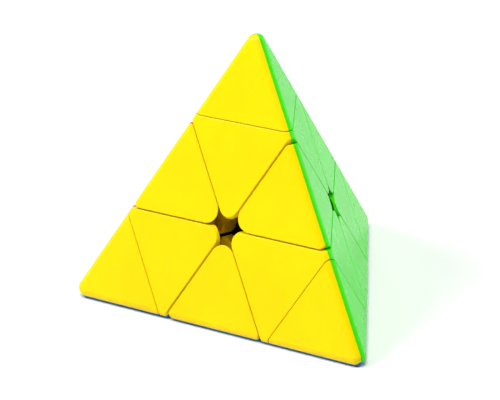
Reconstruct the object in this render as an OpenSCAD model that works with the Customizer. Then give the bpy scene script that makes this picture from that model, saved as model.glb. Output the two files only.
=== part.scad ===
// Pyramid twisty puzzle: a tetrahedron that turns in layers about its four
// vertex axes. The origin is the centre of the core, where the axes meet, and
// +Z runs up through the top vertex.

/* [Pyramid] */
// Length of the tetrahedron's edges before they are rounded
edge_len = 105; // [102:0.5:108]
// Radius of the rounding along the edges
edge_round = 2.2; // [1.8:0.1:2.8]
// Clearance between neighbouring pieces
seam = 0.3; // [0.24:0.02:0.4]
// Clearance between a tip and its centre piece
tip_seam = 0.14; // [0.1:0.02:0.3]

/* [Coloured shells] */
// Wall thickness of the shells
wall = 1.8; // [1.5:0.1:2.2]
// Radius of a centre piece's nose beside the face's centre hole
centre_nose = 3.5; // [2.5:0.1:4]
// Radius of an edge piece's nose beside the face's centre hole
edge_nose = 4.5; // [3.5:0.1:5]
// Radius of the well behind the lips round the face's centre hole
well_radius = 8; // [7:0.1:8.5]
// Thickness of the sleeve that clips the shells to their hub or stem
sleeve_wall = 2.4; // [2:0.1:3]

/* [Mechanism] */
// Radius of the core's ball
core_ball = 9.8; // [9:0.1:10]
// Radius of the edge pieces' feet, measured from the core's centre
foot_radius = 16.4; // [16:0.1:17]
// Distance of a layer's lower boundary among the feet, from the core's centre
foot_dist = 2; // [1.9:0.05:2.2]
// Radius of the shaft that the feet leave free under the face's centre hole
shaft_radius = 4.4; // [4:0.1:6]
// Outer radius of the centre pieces' hubs
hub_radius = 5.4; // [5.2:0.1:5.6]
// Radius of the tips' stems
stem_radius = 4; // [3.8:0.1:4]
// Radius of the tension screws
screw_radius = 1.5; // [1.25:0.05:1.5]

/* [Hidden] */
$fn = 64;

VERTEX = ["top", "left", "right", "back"];
// Colour of the face opposite each vertex
FACE_NAME = ["blue", "green", "red", "yellow"];
FACE_COLOUR = ["#0a5fb8", "#2fd60a", "#f0401a", "#ffee00"];
// Unit vectors from the centre to the vertices
AXIS = [
    [0, 0, 1],
    [-sqrt(2 / 3), -sqrt(2) / 3, -1 / 3],
    [sqrt(2 / 3), -sqrt(2) / 3, -1 / 3],
    [0, 2 * sqrt(2) / 3, -1 / 3]
];

// Distances from the centre
face_dist = edge_len / (2 * sqrt(6));
vertex_dist = 3 * face_dist;
layer_dist = face_dist / 3;
tip_dist = 5 * layer_dist;
// The flats that stand for the rounding touch its arc and its ball
edge_flat_dist = sqrt(3) * face_dist - (sqrt(3) - 1) * edge_round;
tip_flat_dist = vertex_dist - 2 * edge_round;
// Half of the angle between two layers' planes
half_wedge = asin(1 / sqrt(3));

half = seam / 2;
half_tip = tip_seam / 2;
big = 2 * edge_len;
// Clearance between pieces that are fixed together, and in running fits
fit = 0.03;
running = 0.06;
// Clearance on every side of a collar or clip in its groove
play = 0.05;

// The well's undercut: a cone up to the lips, measured from the face
lip = 0.7;
lip_radius = 3;
well_depth = 2.8;
well_bottom = sqrt(pow(foot_radius, 2) - pow(well_radius, 2)) - 1;

// Heights along a vertex axis, from the core outwards
pilot_bottom = 4.5;
screw_bottom = 5;
hub_bottom = core_ball + 0.4;
post_top = 13;
floor_top = post_top + 2.1;
washer_bottom = 24.5;
washer_top = washer_bottom + 0.6;
hub_collar = 27;
head_top = washer_top + 2.2;
stem_bottom = tip_dist - 6.5;
clip_bottom = tip_dist - 4.6;
tip_collar = tip_dist + 4;
stem_top = tip_dist + 10.5;

// The core's arms, the hubs and the tips' stems
post_radius = 3;
chamber_radius = stem_radius + running;
stem_wall = 1.4;
stem_end = 2;
clip_height = 1;
clip_radius = stem_radius + 0.5;
collar_height = 1.6;
collar_step = 1.1;

// Screws with a crossed slot, washers and springs
head_radius = 3;
slot_width = 0.7;
slot_length = 4;
slot_depth = 1.2;
washer_radius = 3.7;
washer_play = 0.1;
thread_play = 0.02;
coil_radius = 2.9;
wire_radius = 0.4;
coil_turns = 6;

// The edge pieces' feet and necks, the solid plastic behind their inner line,
// and the pegs that join their halves
foot_play = 0.2;
neck_radius = 6;
root_thickness = 10;
peg_radius = 1;
peg_length = 2.5;
peg_offset = 2.6;
peg_depth = root_thickness - 3;
peg_end_play = 0.3;

// Every ordered pair of vertices: the shell at the first of the two on the
// face opposite the second, or an edge's shell between the other two
PAIRS = [for (v = [0:3], w = [0:3]) if (v != w) [v, w]];
function tip_name(p) = str("tip_", VERTEX[p[0]], "_", FACE_NAME[p[1]]);
function centre_name(p) = str("centre_", VERTEX[p[0]], "_", FACE_NAME[p[1]]);
function others(p) = [for (i = [0:3]) if (i != p[0] && i != p[1]) i];
function edge_name(p) =
    str("edge_", VERTEX[others(p)[0]], "_", VERTEX[others(p)[1]], "_", FACE_NAME[p[1]]);
function hub_name(v) = str("hub_", VERTEX[v]);
function stem_name(v) = str("tip_stem_", VERTEX[v]);

// ---- Placing ----

function unit(v) = v / norm(v);
function middle(i, j) = unit(AXIS[i] + AXIS[j]);

// Carries +X and +Z to two perpendicular directions
module turned(x, z) {
    y = cross(z, x);
    multmatrix([
        [x[0], y[0], z[0], 0],
        [x[1], y[1], z[1], 0],
        [x[2], y[2], z[2], 0],
        [0, 0, 0, 1]
    ]) children();
}

// Carries the top axis to axis v and the back axis to axis w
module seat(v, w) {
    y = unit(AXIS[w] + AXIS[v] / 3);
    turned(cross(y, AXIS[v]), AXIS[v]) children();
}

module on_axis(v) {
    seat(v, (v + 1) % 4) children();
}

// Carries +Z to the outward direction of the face opposite vertex w
module on_face(w) {
    on_axis(w) rotate([180, 0, 0]) children();
}

// ---- Regions ----

// What lies farther than d along vertex axis i
module beyond(i, d) {
    on_axis(i) translate([-big / 2, -big / 2, d]) cube(big);
}

// What lies nearer than d along vertex axis i
module below(i, d) {
    on_axis(i) translate([-big / 2, -big / 2, d - big]) cube(big);
}

// Inside the flat that blunts the edge between vertices i and j
module blunted(i, j, inset = 0) {
    k = others([i, j])[0];
    l = others([i, j])[1];
    turned(middle(i, j), unit(AXIS[k] - AXIS[l]))
        translate([edge_flat_dist - inset - big, -big / 2, -big / 2]) cube(big);
}

// The third of space around the top axis that faces the yellow side
module front_third() {
    reach = edge_len;
    linear_extrude(height = big, center = true)
        translate([0, -fit / sin(60)]) polygon([
            [0, 0],
            [-reach, -reach * tan(30)],
            [-reach, -2 * reach],
            [reach, -2 * reach],
            [reach, -reach * tan(30)]
        ]);
}

// Cuts a wedge's sharp line back to a round nose. The line crosses direction
// out at distance start and runs along direction line. The round is a little
// full, so that it crosses the wedge's planes instead of only touching them.
module nose_cut(out, line, start, radius) {
    full_radius = 1.02 * radius;
    centre_x = start + radius / sin(half_wedge);
    turned(out, line) difference() {
        translate([start - radius, -2 * radius, -big / 2])
            cube([radius + radius * cos(half_wedge) / tan(half_wedge), 4 * radius, big]);
        translate([centre_x, 0, 0]) cylinder(r = full_radius, h = 2 * big, center = true);
    }
}

// ---- Coloured shells ----

// The room of the tip at the top vertex, within the yellow face
module tip_room(inset) {
    intersection() {
        beyond(3, -face_dist + inset);
        beyond(0, tip_dist + half_tip + inset);
        below(0, tip_flat_dist - inset);
        blunted(0, 1, inset);
        blunted(0, 2, inset);
    }
}

// The tip's yellow shell, open towards the two shells beside it
module tip_shell() {
    difference() {
        intersection() {
            tip_room(0);
            front_third();
        }
        difference() {
            tip_room(wall);
            cylinder(r = stem_radius + sleeve_wall, h = big);
        }
        cylinder(r = stem_radius + fit, h = stem_top + fit);
        translate([0, 0, tip_collar - fit])
            cylinder(r = stem_radius + collar_step + fit, h = collar_height + 2 * fit);
    }
}

// The room of the centre piece at the top vertex, within the yellow face
module centre_room(inset) {
    intersection() {
        beyond(3, -face_dist + inset);
        beyond(0, layer_dist + half + inset);
        below(0, tip_dist - half_tip - inset);
        below(1, layer_dist - half - inset);
        below(2, layer_dist - half - inset);
        blunted(0, 1, inset);
        blunted(0, 2, inset);
    }
}

// The well behind the lips at the yellow face's centre
module well() {
    on_face(3) rotate_extrude() polygon([
        [0, well_bottom],
        [well_radius, well_bottom],
        [well_radius, face_dist - well_depth],
        [lip_radius, face_dist - lip],
        [0, face_dist - lip]
    ]);
}

// The centre piece's yellow shell, open towards the two shells beside it
module centre_shell() {
    difference() {
        intersection() {
            centre_room(0);
            front_third();
        }
        nose_cut(middle(0, 3), unit(AXIS[3] - AXIS[0]), -sqrt(3) * (layer_dist - half), centre_nose);
        sphere(r = foot_radius + half);
        difference() {
            centre_room(wall);
            nose_cut(
                middle(0, 3), unit(AXIS[3] - AXIS[0]),
                -sqrt(3) * (layer_dist - half - wall), centre_nose
            );
            on_face(3) cylinder(r = well_radius + wall, h = big);
            sphere(r = foot_radius + half + wall);
            cylinder(r = hub_radius + sleeve_wall, h = big);
        }
        well();
        cylinder(r = hub_radius + fit, h = big);
        translate([0, 0, hub_collar - fit])
            cylinder(r = hub_radius + collar_step + fit, h = collar_height + 2 * fit);
    }
}

// The half on the yellow side of the edge piece between left and right
module yellow_half() {
    turned(middle(1, 2), unit(AXIS[0] - AXIS[3]))
        translate([-big / 2, -big / 2, fit]) cube(big);
}

// The room of the edge piece between left and right
module edge_room(inset) {
    intersection() {
        beyond(0, -face_dist + inset);
        beyond(3, -face_dist + inset);
        beyond(1, layer_dist + half + inset);
        beyond(2, layer_dist + half + inset);
        blunted(1, 2, inset);
    }
}

// The foot that reaches round the core, under the two centre pieces beside it.
// Their layers' boundaries run closer to the core there.
module foot() {
    intersection() {
        difference() {
            sphere(r = foot_radius - half);
            sphere(r = core_ball + foot_play);
            for (w = [0, 3]) on_face(w) cylinder(r = shaft_radius, h = big);
        }
        beyond(1, foot_dist + half);
        beyond(2, foot_dist + half);
        below(0, foot_dist - half);
        below(3, foot_dist - half);
    }
}

module edge_shell() {
    nose_start = sqrt(3) * (layer_dist + half);
    peg_x = nose_start + peg_depth;
    union() {
        intersection() {
            yellow_half();
            difference() {
                union() {
                    difference() {
                        edge_room(0);
                        nose_cut(middle(1, 2), unit(AXIS[0] - AXIS[3]), nose_start, edge_nose);
                    }
                    intersection() {
                        edge_room(0);
                        turned(middle(1, 2), unit(AXIS[0] - AXIS[3])) rotate([0, 90, 0])
                            cylinder(r = neck_radius, h = nose_start + root_thickness);
                    }
                    foot();
                }
                intersection() {
                    edge_room(wall);
                    turned(middle(1, 2), unit(AXIS[0] - AXIS[3]))
                        translate([nose_start + root_thickness, -big / 2, -big / 2]) cube(big);
                }
                turned(middle(1, 2), unit(AXIS[0] - AXIS[3])) translate([peg_x, peg_offset, 0])
                    cylinder(r = peg_radius + fit, h = peg_length + peg_end_play);
            }
        }
        turned(middle(1, 2), unit(AXIS[0] - AXIS[3])) translate([peg_x, -peg_offset, -peg_length])
            cylinder(r = peg_radius, h = 2 * peg_length);
    }
}

// ---- Mechanism ----

module core() {
    color("#26262a") difference() {
        union() {
            sphere(r = core_ball);
            for (v = [0:3]) on_axis(v) cylinder(r = post_radius, h = post_top);
        }
        for (v = [0:3]) on_axis(v) translate([0, 0, pilot_bottom])
            cylinder(r = screw_radius + thread_play, h = big);
    }
}

module tension_screws() {
    shank = washer_top - screw_bottom + (head_top - washer_top) / 3;
    color("#b8b8bc") for (v = [0:3]) on_axis(v) difference() {
        union() {
            translate([0, 0, screw_bottom]) cylinder(r = screw_radius, h = shank);
            translate([0, 0, washer_top]) cylinder(r = head_radius, h = head_top - washer_top);
        }
        for (a = [0, 90]) rotate(a)
            translate([-slot_length / 2, -slot_width / 2, head_top - slot_depth])
                cube([slot_length, slot_width, 2 * slot_depth]);
    }
}

module spring_washers() {
    color("#c8c8cc") for (v = [0:3]) on_axis(v) difference() {
        translate([0, 0, washer_bottom]) cylinder(r = washer_radius, h = washer_top - washer_bottom);
        cylinder(r = screw_radius + washer_play, h = big);
    }
}

// One coil spring between the hub's floor and its washer
module coil_spring() {
    sides = 6;
    steps = 10;
    rings = coil_turns * steps;
    low = floor_top + play + wire_radius;
    rise = washer_bottom - play - wire_radius - low;
    points = [
        for (n = [0:rings], s = [0:sides - 1])
            let (a = 360 * n / steps, b = -360 * s / sides, r = coil_radius + wire_radius * cos(b))
                [r * cos(a), r * sin(a), low + rise * n / rings + wire_radius * sin(b)]
    ];
    sleeve = [
        for (n = [0:rings - 1], s = [0:sides - 1])
            let (t = (s + 1) % sides)
                [n * sides + s, (n + 1) * sides + s, (n + 1) * sides + t, n * sides + t]
    ];
    start = [for (s = [0:sides - 1]) s];
    end = [for (s = [sides - 1:-1:0]) rings * sides + s];
    polyhedron(points, concat(sleeve, [start, end]));
}

module tension_springs() {
    color("#9a9aa0") for (v = [0:3]) on_axis(v) coil_spring();
}

// A centre piece's hub: a tube with a floor that the spring presses on
module hub() {
    color("#2c2c30") difference() {
        union() {
            translate([0, 0, hub_bottom]) cylinder(r = hub_radius, h = tip_dist - half - hub_bottom);
            translate([0, 0, hub_collar]) cylinder(r = hub_radius + collar_step, h = collar_height);
        }
        cylinder(r = post_radius + running, h = post_top + 2 * play);
        cylinder(r = screw_radius + running, h = big);
        translate([0, 0, floor_top]) cylinder(r = chamber_radius, h = big);
        translate([0, 0, clip_bottom - play])
            cylinder(r = clip_radius + running, h = clip_height + 2 * play);
    }
}

// A tip's stem: its lower end snaps into the hub and its collar holds the shells
module tip_stem() {
    color("#2c2c30") difference() {
        union() {
            translate([0, 0, stem_bottom]) cylinder(r = stem_radius, h = stem_top - stem_bottom);
            translate([0, 0, clip_bottom]) cylinder(r = clip_radius, h = clip_height);
            translate([0, 0, tip_collar]) cylinder(r = stem_radius + collar_step, h = collar_height);
        }
        cylinder(r = stem_radius - stem_wall, h = stem_top - stem_end);
    }
}

// ---- Nodes ----

core();
tension_screws();
spring_washers();
tension_springs();
for (v = [0:3]) {
    on_axis(v) hub();
    on_axis(v) tip_stem();
}
for (p = PAIRS) {
    color(FACE_COLOUR[p[1]]) seat(p[0], p[1]) centre_shell();
    color(FACE_COLOUR[p[1]]) seat(p[0], p[1]) tip_shell();
    color(FACE_COLOUR[p[1]]) seat(p[0], p[1]) edge_shell();
}
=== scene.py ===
"""Pyramid twisty puzzle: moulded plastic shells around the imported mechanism.

Each kind of shell is built once, at the top vertex and on the yellow face, in millimetres, and
then turned to its twelve places. A convex solid set inward by a fillet's radius is cut by planes
and grown by that radius, which rounds its edges. Hollows, bores and wells are cut out after that.
"""
import itertools
import math

import bmesh
import bpy
from mathutils import Matrix, Vector

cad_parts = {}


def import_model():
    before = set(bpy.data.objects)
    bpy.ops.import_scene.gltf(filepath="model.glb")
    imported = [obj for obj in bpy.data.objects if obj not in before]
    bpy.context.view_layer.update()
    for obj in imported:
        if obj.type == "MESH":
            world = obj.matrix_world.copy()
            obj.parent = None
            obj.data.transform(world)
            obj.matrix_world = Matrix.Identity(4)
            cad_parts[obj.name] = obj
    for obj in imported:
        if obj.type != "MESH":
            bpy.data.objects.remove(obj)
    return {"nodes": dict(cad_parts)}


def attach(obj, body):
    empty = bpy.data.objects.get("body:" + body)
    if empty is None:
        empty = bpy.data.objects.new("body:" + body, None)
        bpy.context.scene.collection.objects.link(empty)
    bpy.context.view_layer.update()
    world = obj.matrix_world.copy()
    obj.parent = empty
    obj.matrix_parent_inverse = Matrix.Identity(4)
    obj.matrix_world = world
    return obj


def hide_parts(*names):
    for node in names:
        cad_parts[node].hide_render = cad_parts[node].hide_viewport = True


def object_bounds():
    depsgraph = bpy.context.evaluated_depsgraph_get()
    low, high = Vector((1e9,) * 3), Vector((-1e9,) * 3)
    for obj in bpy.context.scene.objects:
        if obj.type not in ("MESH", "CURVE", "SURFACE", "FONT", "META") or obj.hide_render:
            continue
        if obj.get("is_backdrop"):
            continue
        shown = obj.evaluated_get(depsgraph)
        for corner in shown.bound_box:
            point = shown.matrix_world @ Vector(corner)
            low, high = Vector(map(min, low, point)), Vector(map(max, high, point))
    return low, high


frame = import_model()
cad_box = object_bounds()

MM = 0.001

VERTEX = ["top", "left", "right", "back"]
# Colour of the face opposite each vertex
FACE_NAME = ["blue", "green", "red", "yellow"]
AXIS = [
    Vector((0, 0, 1)),
    Vector((-math.sqrt(2 / 3), -math.sqrt(2) / 3, -1 / 3)),
    Vector((math.sqrt(2 / 3), -math.sqrt(2) / 3, -1 / 3)),
    Vector((0, 2 * math.sqrt(2) / 3, -1 / 3)),
]

# ---- Sizes in millimetres, worked out from the height of the faces over the core's centre ----

FACE_DIST = -cad_box[0].z / MM
LAYER_DIST = FACE_DIST / 3
TIP_DIST = 5 * LAYER_DIST
EDGE_ROUND = 2.2
# How much blunter the corners are than a ball of that radius
CORNER_CUT = 0.6
# Distances of the outermost line of a rounded edge and of the tip of a rounded corner
EDGE_FLAT = math.sqrt(3) * FACE_DIST - (math.sqrt(3) - 1) * EDGE_ROUND
TIP_FLAT = 3 * FACE_DIST - 2 * EDGE_ROUND

HALF_SEAM = 0.15
HALF_TIP_SEAM = 0.07
# Half the gap between two colours of one piece
FIT = 0.02
WALL = 1.8
# How far each layer's shells sit out along its axis, within the puzzle's play
SLACK = [0.1, -0.1, 0.2, 0]
# Fillets along the seams between pieces, and along the joints between colours
SEAM_FILLET = 0.28
COLOUR_FILLET = 0.08
# Radii of the pieces' points at the face's centre, and of the edge pieces' outer ends
CENTRE_NOSE = 3.5
EDGE_NOSE = 4.5
EDGE_END = 0.9

# How far a cutter sinks into what is already cut away, and a height above every piece
SINK = 1
FAR = 80

# The hubs and stems that the shells clip round, and the height of each one's collar
HUB_RADIUS = 5.4
HUB_COLLAR = 27
STEM_RADIUS = 4
STEM_COLLAR = TIP_DIST + 4
STEM_TOP = TIP_DIST + 10.5
COLLAR_STEP = 1.1
COLLAR_HEIGHT = 1.6
BORE_PLAY = 0.03
SLEEVE_WALL = 2.4

# The edge pieces' feet round the core, and the necks that carry them
CORE_BALL = 9.8
FOOT_RADIUS = 16.4
FOOT_DIST = 2
FOOT_PLAY = 0.2
FOOT_FILLET = 0.5
NECK_RADIUS = 6
NECK_START = CORE_BALL + 2
NECK_ROOT = 10
# The shaft through the feet, from each face's centre to the core
SHAFT_RADIUS = 4.4
# The well behind the lips round each face's centre: a cone, then a cylinder down to the feet
LIP = 0.7
LIP_RADIUS = 3
WELL_DEPTH = 2.8
WELL_RADIUS = 8
WELL_LOW = math.sqrt(FOOT_RADIUS ** 2 - WELL_RADIUS ** 2) - SINK

# Greatest turn along one facet of a round, the turn that counts as an edge to round, and the
# turn past which a finished shell's shading stays sharp
STEP = math.radians(9.5)
CREASE = math.radians(20)
SHARP = math.radians(32)
# How near a cut's plane a corner counts as on it
SNAP = 1e-4
# Corners closer than the first value become one, and edges shorter than the second go: in a
# convex solid that is being cut, and in a finished shell
CUT_MERGE, CUT_SLIVER = 0.01, 0.005
SHELL_MERGE, SHELL_SLIVER = 0.002, 0.001


def middle(i, j):
    """The way from the core to the middle of the edge between two vertices."""
    return (AXIS[i] + AXIS[j]).normalized()


def between(i, j):
    """The way along the edge from vertex j to vertex i."""
    return (AXIS[i] - AXIS[j]).normalized()


# ---- Convex solids ----

def hull_of(points):
    bm = bmesh.new()
    for p in points:
        bm.verts.new(p)
    bmesh.ops.convex_hull(bm, input=bm.verts)
    return bm


def tetrahedron(dist):
    """The sharp tetrahedron whose faces lie dist from the core's centre."""
    return hull_of([3 * dist * a for a in AXIS])


def ball(radius, segments=96, rings=60):
    bm = bmesh.new()
    bmesh.ops.create_uvsphere(bm, u_segments=segments, v_segments=rings, radius=radius)
    return bm


def lathe(profile, segments=96):
    """A closed solid of revolution about +Z from (radius, height) corners, lowest first."""
    bm = bmesh.new()
    rings = []
    for radius, height in profile:
        ring = []
        for k in range(segments):
            a = 2 * math.pi * k / segments
            ring.append(bm.verts.new((radius * math.cos(a), radius * math.sin(a), height)))
        rings.append(ring)
    for low, high in zip(rings, rings[1:]):
        for k in range(segments):
            n = (k + 1) % segments
            bm.faces.new((low[k], low[n], high[n], high[k]))
    bm.faces.new(reversed(rings[0]))
    bm.faces.new(rings[-1])
    return bm


def cut(bm, normal, dist):
    """Keeps what lies within dist along normal, and closes the cut."""
    geometry = bm.verts[:] + bm.edges[:] + bm.faces[:]
    result = bmesh.ops.bisect_plane(
        bm, geom=geometry, dist=SNAP, plane_co=normal * dist, plane_no=normal, clear_outer=True
    )
    rim = [e for e in result["geom_cut"] if isinstance(e, bmesh.types.BMEdge)]
    if rim:
        bmesh.ops.contextual_create(bm, geom=rim)


def tidy(bm):
    """Merges the slivers that cuts leave, so that every corner is a true one."""
    bmesh.ops.remove_doubles(bm, verts=bm.verts, dist=CUT_MERGE)
    bmesh.ops.dissolve_degenerate(bm, edges=bm.edges, dist=CUT_SLIVER)
    bmesh.ops.recalc_face_normals(bm, faces=bm.faces)
    bm.normal_update()


def slerp(a, b, t):
    """The direction that lies a share t of the turn from a to b."""
    angle = a.angle(b)
    if angle < 1e-6:
        return a.copy()
    return (math.sin((1 - t) * angle) * a + math.sin(t * angle) * b) / math.sin(angle)


def round_edge(bm, a, dist_a, b, dist_b, radius):
    """Cuts the edge between two of the solid's planes back to a round."""
    c = a.dot(b)
    da, db = dist_a - radius, dist_b - radius
    centre = ((da - c * db) * a + (db - c * da) * b) / (1 - c * c)
    steps = math.ceil(a.angle(b) / STEP)
    for k in range(1, steps):
        n = slerp(a, b, k / steps)
        cut(bm, n, centre.dot(n) + radius)


def fan(vert):
    """The (face, next edge) pairs round a vertex, anticlockwise from outside."""
    start = loop = vert.link_loops[0]
    pairs = []
    while True:
        before = loop.link_loop_prev
        pairs.append((loop.face, before.edge))
        loop = before.link_loop_radial_next
        if loop is start:
            return pairs


def grown(bm, radius):
    """The convex solid bm grown by radius, with round edges and corners."""
    tidy(bm)
    crease = {e: e.calc_face_angle() > CREASE for e in bm.edges}
    # Faces that meet without a crease share one corner
    group, corner, runs = {}, {}, {}
    for v in bm.verts:
        pairs = fan(v)
        breaks = [k for k, (_, e) in enumerate(pairs) if crease[e]]
        if breaks:
            pairs = pairs[breaks[0] + 1:] + pairs[:breaks[0] + 1]
        sets, joints = [[]], []
        for k, (face, edge) in enumerate(pairs):
            sets[-1].append(face)
            group[v, face] = len(sets) - 1
            if crease[edge]:
                joints.append(edge)
                if k < len(pairs) - 1:
                    sets.append([])
        for k, faces in enumerate(sets):
            n = sum((f.normal for f in faces), Vector()).normalized()
            reach = len(faces) / sum(n.dot(f.normal) for f in faces)
            corner[v, k] = (n, radius * reach)
        runs[v] = (len(sets), joints)
    # Creases that run on into each other share one number of steps
    leader = {e: e for e in bm.edges}

    def lead(e):
        while leader[e] is not e:
            e = leader[e]
        return e

    for v, (count, joints) in runs.items():
        if count == 2:
            leader[lead(joints[0])] = lead(joints[1])
    angle = {}
    for e in bm.edges:
        if crease[e]:
            angle[lead(e)] = max(angle.get(lead(e), 0), e.calc_face_angle())
    out = bmesh.new()
    made = {}
    for (v, k), (n, reach) in corner.items():
        made[v, k] = out.verts.new(v.co + n * reach)
    arcs = {}

    def arc(v, a, b, edge):
        if (v, a, b) not in arcs:
            steps = max(1, math.ceil(angle[lead(edge)] / STEP))
            (na, ra), (nb, rb) = corner[v, a], corner[v, b]
            inner = []
            for k in range(1, steps):
                t = k / steps
                inner.append(out.verts.new(v.co + slerp(na, nb, t) * ((1 - t) * ra + t * rb)))
            arcs[v, a, b] = [made[v, a]] + inner + [made[v, b]]
            arcs[v, b, a] = arcs[v, a, b][::-1]
        return arcs[v, a, b]

    for f in bm.faces:
        out.faces.new([made[l.vert, group[l.vert, f]] for l in f.loops])
    for e in bm.edges:
        if not crease[e]:
            continue
        loop = e.link_loops[0]
        u, w = loop.vert, loop.link_loop_next.vert
        fa, fb = loop.face, loop.link_loop_radial_next.face
        at_u = arc(u, group[u, fa], group[u, fb], e)
        at_w = arc(w, group[w, fa], group[w, fb], e)
        for k in range(len(at_u) - 1):
            out.faces.new((at_w[k], at_u[k], at_u[k + 1], at_w[k + 1]))
    for v, (count, joints) in runs.items():
        if count > 2:
            rim = []
            for k, edge in enumerate(joints):
                rim += arc(v, k, (k + 1) % count, edge)[:-1]
            fill_corner(out, v.co, radius, rim)
    bm.free()
    bmesh.ops.recalc_face_normals(out, faces=out.faces)
    return out


def fill_corner(out, centre, radius, rim):
    """Closes a corner's rim with rings of a sphere about centre."""
    ways = [(v.co - centre).normalized() for v in rim]
    pole = sum(ways, Vector()).normalized()
    rings = max(1, round(max(w.angle(pole) for w in ways) / STEP))
    for k in range(1, rings):
        inner = [out.verts.new(centre + radius * slerp(w, pole, k / rings)) for w in ways]
        for j in range(len(rim)):
            n = (j + 1) % len(rim)
            out.faces.new((rim[j], rim[n], inner[n], inner[j]))
        rim = inner
    if len(rim) == 3:
        out.faces.new(rim)
        return
    top = out.verts.new(centre + radius * pole)
    for j in range(len(rim)):
        out.faces.new((rim[j], rim[(j + 1) % len(rim)], top))


def moulded(blank, planes, rounds, partings, fillet):
    """A blank set inward by fillet becomes one coloured shell's outer solid. Its planes get
    that fillet and its parting planes, where two colours meet, get the small one."""
    for normal, dist in planes:
        cut(blank, normal, dist - fillet)
    for a, dist_a, b, dist_b, radius in rounds:
        round_edge(blank, a, dist_a - fillet, b, dist_b - fillet, radius - fillet)
    bm = grown(blank, fillet - COLOUR_FILLET)
    for normal, dist in partings:
        cut(bm, normal, dist - COLOUR_FILLET)
    return grown(bm, COLOUR_FILLET)


def blank_tetrahedron():
    """The rounded tetrahedron, set inward by a seam's fillet."""
    core = tetrahedron(FACE_DIST - EDGE_ROUND)
    for axis in AXIS:
        cut(core, axis, 3 * (FACE_DIST - EDGE_ROUND) - CORNER_CUT)
    return grown(core, EDGE_ROUND - SEAM_FILLET)


def room(planes, inset):
    """The plain space inside the planes and the tetrahedron's blunted edges, set inward."""
    bm = tetrahedron(FACE_DIST - inset)
    for i in range(4):
        for j in range(i):
            cut(bm, middle(i, j), EDGE_FLAT - inset)
    for normal, dist in planes:
        cut(bm, normal, dist - inset)
    tidy(bm)
    return bm


# ---- Solids into objects ----

def as_object(bm, name):
    bmesh.ops.recalc_face_normals(bm, faces=bm.faces)
    mesh = bpy.data.meshes.new(name)
    bm.to_mesh(mesh)
    bm.free()
    obj = bpy.data.objects.new(name, mesh)
    bpy.context.scene.collection.objects.link(obj)
    return obj


def apply_modifiers(obj):
    """Gives obj the mesh that its modifiers make, in place of its own."""
    graph = bpy.context.evaluated_depsgraph_get()
    mesh = bpy.data.meshes.new_from_object(obj.evaluated_get(graph))
    obj.modifiers.clear()
    old = obj.data
    obj.data = mesh
    bpy.data.meshes.remove(old)


def discard(obj):
    mesh = obj.data
    bpy.data.objects.remove(obj)
    bpy.data.meshes.remove(mesh)


def combine(obj, tool, operation):
    """Joins the object tool to obj, or takes it away, and uses it up."""
    modifier = obj.modifiers.new("combine", "BOOLEAN")
    modifier.operation = operation
    modifier.solver = "EXACT"
    modifier.object = tool
    apply_modifiers(obj)
    discard(tool)


def add(obj, bm):
    combine(obj, as_object(bm, "tool"), "UNION")


def take(obj, bm):
    combine(obj, as_object(bm, "tool"), "DIFFERENCE")


def finish_mesh(obj):
    """Cleans a shell and gives its flats flat shading between smooth rounds."""
    bm = bmesh.new()
    bm.from_mesh(obj.data)
    bmesh.ops.remove_doubles(bm, verts=bm.verts, dist=SHELL_MERGE)
    bmesh.ops.dissolve_degenerate(bm, edges=bm.edges, dist=SHELL_SLIVER)
    bm.normal_update()
    for face in bm.faces:
        face.smooth = True
    for edge in bm.edges:
        edge.smooth = len(edge.link_faces) != 2 or edge.calc_face_angle() < SHARP
    bm.to_mesh(obj.data)
    bm.free()
    normals = obj.modifiers.new("normals", "WEIGHTED_NORMAL")
    normals.mode = "FACE_AREA"
    normals.weight = 100
    normals.keep_sharp = True
    apply_modifiers(obj)


def turned(x, z):
    """The turn that carries +X and +Z to two perpendicular directions."""
    return Matrix((x, z.cross(x), z)).transposed().to_4x4()


def seat(v, w):
    """The turn that carries the top axis to axis v and the back axis to axis w."""
    y = (AXIS[w] + AXIS[v] / 3).normalized()
    return turned(y.cross(AXIS[v]), AXIS[v])


def rod(radius, low, high):
    return lathe([(radius, low), (radius, high)])


def collar_bore(radius, collar, top):
    """The space that a hub or stem takes along the top axis, with its collar at that height."""
    bore = radius + BORE_PLAY
    step = bore + COLLAR_STEP
    low = collar - BORE_PLAY
    high = collar + COLLAR_HEIGHT + BORE_PLAY
    return lathe([(bore, 0), (bore, low), (step, low), (step, high), (bore, high), (bore, top)])


def on_yellow(bm):
    """A solid about +Z, turned to lie about the yellow face's outward direction."""
    bmesh.ops.transform(bm, matrix=turned(between(1, 2), -AXIS[3]), verts=bm.verts)
    return bm


# ---- Shells at the top vertex, on the yellow face ----

# Where a top piece's yellow third ends, against its other two colours
THIRD = [(between(3, i), -FIT) for i in (1, 2)]


def tip_shell():
    """The yellow third of a tip, with the sleeve that clips round the stem."""
    planes = [(-AXIS[0], -(TIP_DIST + HALF_TIP_SEAM))]
    obj = as_object(moulded(blank_tetrahedron(), planes, [], THIRD, SEAM_FILLET), "tip_shell")
    hollow = as_object(room(planes + [(AXIS[0], TIP_FLAT)], WALL), "hollow")
    take(hollow, rod(STEM_RADIUS + SLEEVE_WALL, 0, FAR))
    combine(obj, hollow, "DIFFERENCE")
    take(obj, collar_bore(STEM_RADIUS, STEM_COLLAR, STEM_TOP))
    finish_mesh(obj)
    return obj


def well():
    """The hollow behind the lips round the yellow face's centre."""
    return on_yellow(lathe([
        (WELL_RADIUS, WELL_LOW),
        (WELL_RADIUS, FACE_DIST - WELL_DEPTH),
        (LIP_RADIUS, FACE_DIST - LIP),
    ]))


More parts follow.
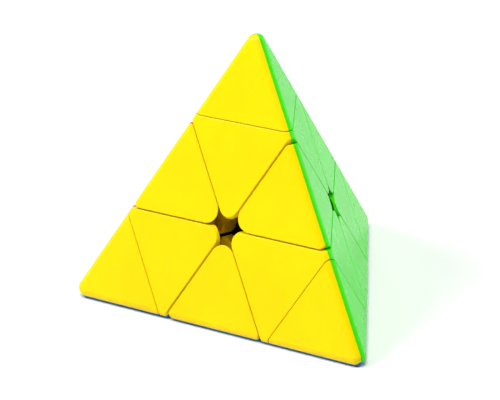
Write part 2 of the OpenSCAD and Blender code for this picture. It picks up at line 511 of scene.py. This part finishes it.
def centre_shell():
    """The yellow third of a centre piece, with its sleeve for the hub and its part of the well."""
    low = LAYER_DIST - HALF_SEAM
    planes = [(-AXIS[0], -(LAYER_DIST + HALF_SEAM)), (AXIS[0], TIP_DIST - HALF_TIP_SEAM)]
    planes += [(AXIS[i], low) for i in (1, 2, 3)]
    noses = [(AXIS[i], low, AXIS[j], low, CENTRE_NOSE) for i, j in ((1, 2), (2, 3), (3, 1))]
    obj = as_object(moulded(blank_tetrahedron(), planes, noses, THIRD, SEAM_FILLET), "centre_shell")
    hollow = as_object(room(planes, WALL), "hollow")
    take(hollow, ball(FOOT_RADIUS + HALF_SEAM + WALL))
    take(hollow, rod(HUB_RADIUS + SLEEVE_WALL, 0, FAR))
    take(hollow, on_yellow(rod(WELL_RADIUS + WALL, WELL_LOW, FACE_DIST)))
    combine(obj, hollow, "DIFFERENCE")
    take(obj, well())
    take(obj, collar_bore(HUB_RADIUS, HUB_COLLAR, FAR))
    take(obj, ball(FOOT_RADIUS + HALF_SEAM))
    finish_mesh(obj)
    return obj


def neck(out, root):
    """A rod along out, from beside the core to its root in the shell, set inward."""
    bm = rod(NECK_RADIUS - FOOT_FILLET, NECK_START, root)
    bmesh.ops.transform(bm, matrix=turned(between(0, 3).cross(out), out), verts=bm.verts)
    return bm


def edge_shell():
    """The yellow half of an edge piece, between the left and right vertices, with its foot."""
    out = middle(1, 2)
    high = LAYER_DIST + HALF_SEAM
    root = math.sqrt(3) * high + NECK_ROOT
    planes = [(-AXIS[i], -high) for i in (1, 2)]
    rounds = [(-AXIS[1], -high, -AXIS[2], -high, EDGE_NOSE)]
    rounds += [(out, EDGE_FLAT, -AXIS[i], -high, EDGE_END) for i in (1, 2)]
    parting = [(between(3, 0), -FIT)]
    foot_planes = [(-AXIS[i], -(FOOT_DIST + HALF_SEAM)) for i in (1, 2)]
    foot_planes += [(AXIS[i], FOOT_DIST - HALF_SEAM) for i in (0, 3)]
    foot = ball(FOOT_RADIUS - HALF_SEAM - FOOT_FILLET)
    hollow = room(planes, WALL)
    cut(hollow, -out, -root)
    obj = as_object(moulded(blank_tetrahedron(), planes, rounds, parting, SEAM_FILLET), "edge_shell")
    add(obj, moulded(neck(out, root), planes, [], parting, FOOT_FILLET))
    add(obj, moulded(foot, foot_planes, [], parting, FOOT_FILLET))
    take(obj, ball(CORE_BALL + FOOT_PLAY))
    take(obj, on_yellow(rod(SHAFT_RADIUS, 0, FOOT_RADIUS)))
    take(obj, hollow)
    finish_mesh(obj)
    return obj


# ---- Materials ----

# Patches to the metre: of tint, of polish, of waves and of grain
MOTTLE, SMEAR, WAVES, GRAIN = 60, 140, 420, 5200
WAVE_STRENGTH = 0.003
# Heights of the waves and the grain in metres
WAVE_HEIGHT, GRAIN_HEIGHT = 0.0001, 0.00002
# The part of a noise's values, and of a tint's, that is spread over the whole range
NOISE_LOW, NOISE_HIGH = 0.3, 0.7
TINT_LOW, TINT_HIGH = 0.35, 0.65


def noise(tree, scale, detail, vector):
    node = tree.nodes.new("ShaderNodeTexNoise")
    node.inputs["Scale"].default_value = scale
    node.inputs["Detail"].default_value = detail
    tree.links.new(vector, node.inputs["Vector"])
    return node.outputs["Fac"]


def spread(tree, value, source, target):
    """Carries a value from one (low, high) range to another, and holds it inside that."""
    node = tree.nodes.new("ShaderNodeMapRange")
    node.inputs["From Min"].default_value, node.inputs["From Max"].default_value = source
    node.inputs["To Min"].default_value, node.inputs["To Max"].default_value = target
    tree.links.new(value, node.inputs["Value"])
    return node.outputs["Result"]


def bump(tree, height, strength, distance, below=None):
    """Relief over the surface, or over the relief below it."""
    node = tree.nodes.new("ShaderNodeBump")
    node.inputs["Strength"].default_value = strength
    node.inputs["Distance"].default_value = distance
    tree.links.new(height, node.inputs["Height"])
    if below:
        tree.links.new(below, node.inputs["Normal"])
    return node.outputs["Normal"]


def tint(tree, value, dark, light):
    """Carries a noise to a colour between two."""
    node = tree.nodes.new("ShaderNodeValToRGB")
    ends = node.color_ramp.elements
    ends[0].position, ends[1].position = TINT_LOW, TINT_HIGH
    ends[0].color, ends[1].color = (*dark, 1), (*light, 1)
    tree.links.new(value, node.inputs["Fac"])
    return node.outputs["Color"]


def surface(name, dark, light, smooth, rough, grain, specular=0.5, metallic=0.0, stretch=1):
    """A material that wanders between two tints and two roughnesses, over faint waves and a
    grain of that strength. All of these can be stretched along Z, as on drawn metal."""
    material = bpy.data.materials.new(name)
    material.use_nodes = True
    tree = material.node_tree
    shader = tree.nodes["Principled BSDF"]
    shader.inputs["Specular IOR Level"].default_value = specular
    shader.inputs["Metallic"].default_value = metallic
    scaled = tree.nodes.new("ShaderNodeMapping")
    scaled.inputs["Scale"].default_value = (1, 1, 1 / stretch)
    point = tree.nodes.new("ShaderNodeTexCoord").outputs["Object"]
    tree.links.new(point, scaled.inputs["Vector"])
    vector = scaled.outputs["Vector"]
    colour = tint(tree, noise(tree, MOTTLE, 3, vector), dark, light)
    polish = noise(tree, SMEAR, 4, vector)
    roughness = spread(tree, polish, (NOISE_LOW, NOISE_HIGH), (smooth, rough))
    waves = bump(tree, noise(tree, WAVES, 1, vector), WAVE_STRENGTH, WAVE_HEIGHT)
    grained = bump(tree, noise(tree, GRAIN, 2, vector), grain, GRAIN_HEIGHT, waves)
    tree.links.new(colour, shader.inputs["Base Color"])
    tree.links.new(roughness, shader.inputs["Roughness"])
    tree.links.new(grained, shader.inputs["Normal"])
    return material


def plastic(name, dark, light):
    return surface(name, dark, light, smooth=0.26, rough=0.3, grain=0.04, specular=0.13)


COLOURS = {
    "yellow": plastic("yellow_plastic", (0.78, 0.575, 0.0), (0.82, 0.605, 0.0)),
    "green": plastic("green_plastic", (0.033, 0.65, 0.0), (0.038, 0.69, 0.0)),
    "red": plastic("red_plastic", (0.80, 0.045, 0.009), (0.85, 0.053, 0.012)),
    "blue": plastic("blue_plastic", (0.0, 0.15, 0.36), (0.002, 0.18, 0.42)),
}
DARK = surface(
    "dark_plastic", (0.009, 0.009, 0.010), (0.016, 0.016, 0.017),
    smooth=0.42, rough=0.55, grain=0.4,
)
STEEL = surface(
    "steel", (0.5, 0.5, 0.52), (0.66, 0.66, 0.68),
    smooth=0.22, rough=0.4, grain=0.3, metallic=1.0, stretch=6,
)


# ---- The puzzle ----

def paint(mesh, material):
    mesh.materials.clear()
    mesh.materials.append(material)


def place(shell, kind):
    """Copies a shell to its twelve places: for seat(v, w), on the colour opposite vertex w."""
    for v, w in itertools.permutations(range(4), 2):
        layers = [i for i in range(4) if i not in (v, w)] if kind == "edge" else [v]
        body = "_".join([kind] + [VERTEX[i] for i in layers])
        node = body + "_" + FACE_NAME[w]
        slack = sum((SLACK[i] * AXIS[i] for i in layers), Vector())
        mesh = shell.data.copy()
        mesh.transform(Matrix.Scale(MM, 4) @ Matrix.Translation(slack) @ seat(v, w))
        paint(mesh, COLOURS[FACE_NAME[w]])
        piece = bpy.data.objects.new(node + "_shell", mesh)
        bpy.context.scene.collection.objects.link(piece)
        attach(piece, body)
        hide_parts(node)
    discard(shell)


place(tip_shell(), "tip")
place(centre_shell(), "centre")
place(edge_shell(), "edge")

for name, node in frame["nodes"].items():
    if name.startswith(("core", "hub_", "tip_stem_")):
        paint(node.data, DARK)
    elif name.startswith(("tension_", "spring_")):
        paint(node.data, STEEL)


# ---- Floor, light and camera, in metres ----

FLOOR_HALF = 0.6
FLOOR_WHITE = (0.85, 0.85, 0.85, 1)
FLOOR_ROUGHNESS = 0.7

# The studio's walls are light up to one height of direction, and dim from the other up
WALL_HEIGHTS = (0.1, 0.2)
WALL_LIGHTS = (1, 0.1)

# Each lamp's place, width and power in watts
LAMPS = {
    "key": ((-0.6, -0.6, 0.85), 0.4, 10),
    "overhead": ((0.15, -0.25, 1.08), 0.6, 10.5),
    "behind": ((0.58, 1.04, 0.52), 0.8, 6.7),
    "left_behind": ((-0.75, 0.8, 0.6), 0.8, 3),
}
LAMP_AIM = Vector((0, 0, 0.01))

CAMERA_AIM = Vector((-0.0051, 0.0005, 0.0072))
CAMERA_DISTANCE = 0.684
CAMERA_AZIMUTH, CAMERA_ELEVATION, CAMERA_ROLL = 34.2, 23.3, -2.7
# The lens and the sensor's width in millimetres
CAMERA_LENS, CAMERA_SENSOR = 168.6, 36


def floor():
    bm = bmesh.new()
    bmesh.ops.create_grid(bm, x_segments=1, y_segments=1, size=FLOOR_HALF)
    obj = as_object(bm, "floor")
    obj.location.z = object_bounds()[0].z
    material = bpy.data.materials.new("floor")
    material.use_nodes = True
    shader = material.node_tree.nodes["Principled BSDF"]
    shader.inputs["Base Color"].default_value = FLOOR_WHITE
    shader.inputs["Roughness"].default_value = FLOOR_ROUGHNESS
    obj.data.materials.append(material)
    obj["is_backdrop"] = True


def world():
    made = bpy.data.worlds.new("studio")
    made.use_nodes = True
    tree = made.node_tree
    background = tree.nodes["Background"]
    background.inputs["Color"].default_value = (1, 1, 1, 1)
    way = tree.nodes.new("ShaderNodeSeparateXYZ")
    tree.links.new(tree.nodes.new("ShaderNodeTexCoord").outputs["Generated"], way.inputs["Vector"])
    light = spread(tree, way.outputs["Z"], WALL_HEIGHTS, WALL_LIGHTS)
    tree.links.new(light, background.inputs["Strength"])
    bpy.context.scene.world = made


def facing(back):
    """The turn of a lamp or camera whose back points that way, with its top up."""
    return back.to_track_quat("Z", "Y").to_matrix()


def lamp(name, place_at, width, power):
    data = bpy.data.lights.new(name, "AREA")
    data.energy = power
    data.size = width
    obj = bpy.data.objects.new(name, data)
    bpy.context.scene.collection.objects.link(obj)
    obj.location = place_at
    obj.rotation_euler = facing(obj.location - LAMP_AIM).to_euler()


def camera():
    data = bpy.data.cameras.new("camera")
    data.sensor_width = CAMERA_SENSOR
    data.lens = CAMERA_LENS
    obj = bpy.data.objects.new("camera", data)
    bpy.context.scene.collection.objects.link(obj)
    azimuth, elevation = math.radians(CAMERA_AZIMUTH), math.radians(CAMERA_ELEVATION)
    back = Vector((
        math.sin(azimuth) * math.cos(elevation),
        -math.cos(azimuth) * math.cos(elevation),
        math.sin(elevation),
    ))
    obj.location = CAMERA_AIM + CAMERA_DISTANCE * back
    roll = Matrix.Rotation(math.radians(CAMERA_ROLL), 3, "Z")
    obj.rotation_euler = (facing(back) @ roll).to_euler()
    bpy.context.scene.camera = obj


floor()
world()
for lamp_name, (place_at, width, power) in LAMPS.items():
    lamp(lamp_name, place_at, width, power)
camera()
bpy.context.scene.view_settings.view_transform = "Standard"
